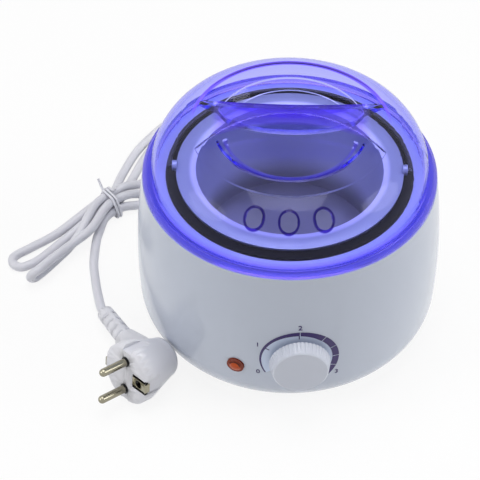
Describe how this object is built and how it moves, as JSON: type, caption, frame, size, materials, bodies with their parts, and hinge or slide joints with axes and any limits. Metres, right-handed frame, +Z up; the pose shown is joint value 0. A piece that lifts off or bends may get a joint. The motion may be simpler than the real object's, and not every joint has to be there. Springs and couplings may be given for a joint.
{
  "type": "wax warmer",
  "caption": "Round table-top wax warmer with a fluted temperature dial, pilot lamp, lift-out pot with bail, see-through domed lid with ridge handle, and a tied mains lead with plug.",
  "frame": {"origin": "on the table, below the axis of the round housing; the knob at the front and the gland at the back reach out equally far", "axes": "+Z up, -Y out of the dial at the front, +X to the right seen from the front"},
  "size_m": [0.2559, 0.2859, 0.1549],
  "materials": {
    "housing_white": "glossy moulded",
    "base_grey": "fine matte",
    "steel": "zinc plated",
    "foot_rubber": "matte",
    "collar_black": "satin heat-proof plastic",
    "bowl_aluminium": "drawn sheet",
    "mica": "mica sheet",
    "glass_fibre": "woven glass fibre",
    "clip_brass": "sheet",
    "switch_ivory": "phenolic",
    "knob_white": "satin moulded, fluted",
    "lamp_orange": "tinted lens",
    "bulb_glass": "clear",
    "cord_white": "flexible sheath",
    "pot_aluminium": "polished drawn sheet",
    "bail_wire": "dark wire",
    "lid_violet": "clear tinted moulding",
    "tie_white": "coated wire",
    "plug_white": "satin moulded",
    "plug_nickel": "nickel plated"
  },
  "bodies": {
    "housing": {"housing": "housing_white", "base_plate": "base_grey", "base_screws": "steel", "feet": "foot_rubber", "collar": "collar_black", "heater_bowl": "bowl_aluminium", "small_screws": "steel", "heater_band": "mica", "insulation_jacket": "glass_fibre", "thermal_fuse": "steel", "fuse_clip": "clip_brass", "thermostat": "switch_ivory", "thermostat_nut": "steel", "lamp_lens": "lamp_orange", "lamp_nut": "collar_black", "lamp_bulb": "bulb_glass", "terminal_block": "switch_ivory", "cord_clamp": "switch_ivory", "cord_gland": "cord_white", "inner_lead": "cord_white", "cord_lead": "cord_white", "cord_hank": "cord_white", "cord_tail": "cord_white", "cord_tie": "tie_white", "plug_body": "plug_white", "plug_pins": "plug_nickel", "plug_clips": "plug_nickel"},
    "knob": {"knob": "knob_white", "thermostat_shaft": "steel"},
    "pot": {"pot": "pot_aluminium"},
    "bail": {"bail": "bail_wire"},
    "lid": {"lid": "lid_violet"}
  },
  "joints": [
    {"name": "dial_turn", "type": "hinge", "parent": "housing", "child": "knob", "pos_m": [0, -0.09, 0.046], "axis": [0, 1, 0], "range_deg": [0, 270]},
    {"name": "pot_lift", "type": "slide", "parent": "housing", "child": "pot", "axis": [0, 0, 1], "range_m": [0, 0.12]},
    {"name": "lid_lift", "type": "slide", "parent": "pot", "child": "lid", "axis": [0, 0, 1], "range_m": [0, 0.18]},
    {"name": "bail_swing", "type": "hinge", "parent": "pot", "child": "bail", "pos_m": [0, 0, 0.1098], "axis": [0.9962, -0.0872, 0], "range_deg": [0, 180]}
  ],
  "couplings": [
    {"joint": "bail_swing", "follows": "lid_lift", "rad_per_m": 17.45}
  ]
}
